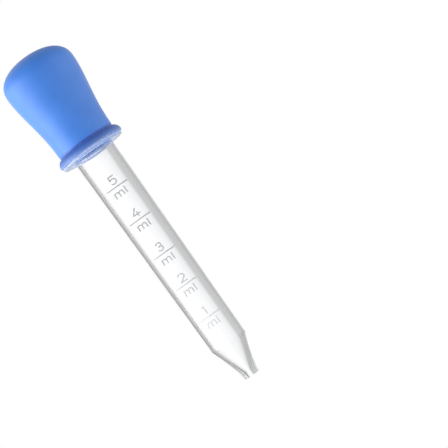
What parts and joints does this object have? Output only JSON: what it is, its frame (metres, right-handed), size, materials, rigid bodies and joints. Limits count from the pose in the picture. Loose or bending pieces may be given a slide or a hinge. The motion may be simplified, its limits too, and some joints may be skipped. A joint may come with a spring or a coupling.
{
  "type": "medicine dropper",
  "caption": "Squeeze-bulb medicine dropper: soft flared silicone bulb on a clear flanged barrel with a raised millilitre scale and a tapered nozzle.",
  "frame": {"origin": "centre of the flange's underside, where the dropper seats on a bottle neck or rack", "axes": "+Z along the dropper's axis towards the bulb; the scale faces -Y and reads upright with the bulb on top"},
  "size_m": [0.0234, 0.0234, 0.1142],
  "materials": {
    "clear_plastic": "clear gloss, injection moulded",
    "scale_relief": "fine frosted relief",
    "silicone": "soft matte silicone"
  },
  "bodies": {
    "barrel": {"barrel": "clear_plastic", "graduation_lines": "scale_relief", "scale_numerals": "scale_relief", "unit_marks": "scale_relief"},
    "bulb": {"bulb_shell": "silicone"},
    "pinch_front": {"pinch_wall_front": "silicone"},
    "pinch_back": {"pinch_wall_back": "silicone"}
  },
  "joints": [
    {"name": "bulb_pull_off", "type": "slide", "parent": "barrel", "child": "bulb", "axis": [0, 0, 1], "range_m": [0, 0.014]},
    {"name": "squeeze_front", "type": "slide", "parent": "bulb", "child": "pinch_front", "axis": [0, 1, 0], "range_m": [0, 0.005], "stiffness_N_per_m": 900},
    {"name": "squeeze_back", "type": "slide", "parent": "bulb", "child": "pinch_back", "axis": [0, -1, 0], "range_m": [0, 0.005], "stiffness_N_per_m": 900}
  ],
  "couplings": [
    {"joint": "squeeze_back", "follows": "squeeze_front", "ratio": 1}
  ]
}
